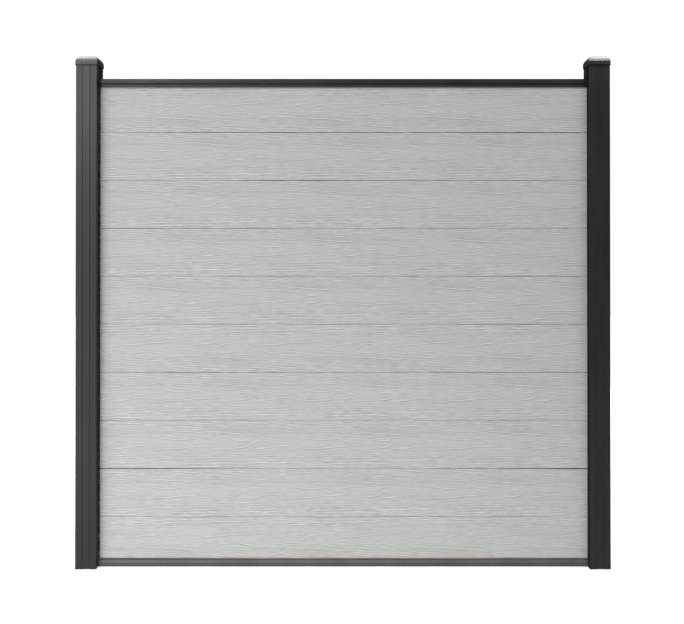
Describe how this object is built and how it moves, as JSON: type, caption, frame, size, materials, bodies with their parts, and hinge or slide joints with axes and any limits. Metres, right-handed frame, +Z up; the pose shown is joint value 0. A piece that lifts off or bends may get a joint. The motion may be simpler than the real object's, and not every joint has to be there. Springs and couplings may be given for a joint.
{
  "type": "composite fence panel",
  "caption": "Fence bay of interlocking wood-grain composite boards held in slotted aluminium posts with bevelled caps, between a bottom and a top rail.",
  "frame": {"origin": "on the ground under the middle of the bay, midway between the posts and midway through their depth", "axes": "+X along the fence to the right as seen from the front, -Y towards the front, +Z up"},
  "size_m": [1.878, 0.078, 1.7974],
  "materials": {
    "post_metal": "satin powder coat",
    "cap_metal": "satin powder coat",
    "strip_metal": "satin powder coat",
    "rail_metal": "satin powder coat",
    "board_composite": "matt embossed wood-plastic composite, light grey",
    "seal_rubber": "matt",
    "screw_steel": "black zinc"
  },
  "bodies": {
    "root": {"left_post": "post_metal", "left_post_cap": "cap_metal", "left_post_front_strip": "strip_metal", "left_post_rear_strip": "strip_metal", "left_post_outer_strip": "strip_metal", "left_front_seal": "seal_rubber", "left_rear_seal": "seal_rubber", "right_post": "post_metal", "right_post_cap": "cap_metal", "right_post_front_strip": "strip_metal", "right_post_rear_strip": "strip_metal", "right_post_outer_strip": "strip_metal", "right_front_seal": "seal_rubber", "right_rear_seal": "seal_rubber", "bottom_rail": "rail_metal", "top_rail": "rail_metal", "bottom_rail_screws": "screw_steel", "top_rail_screws": "screw_steel", "board_01": "board_composite", "board_02": "board_composite", "board_03": "board_composite", "board_04": "board_composite", "board_05": "board_composite", "board_06": "board_composite", "board_07": "board_composite", "board_08": "board_composite", "board_09": "board_composite", "board_10": "board_composite"}
  },
  "joints": []
}
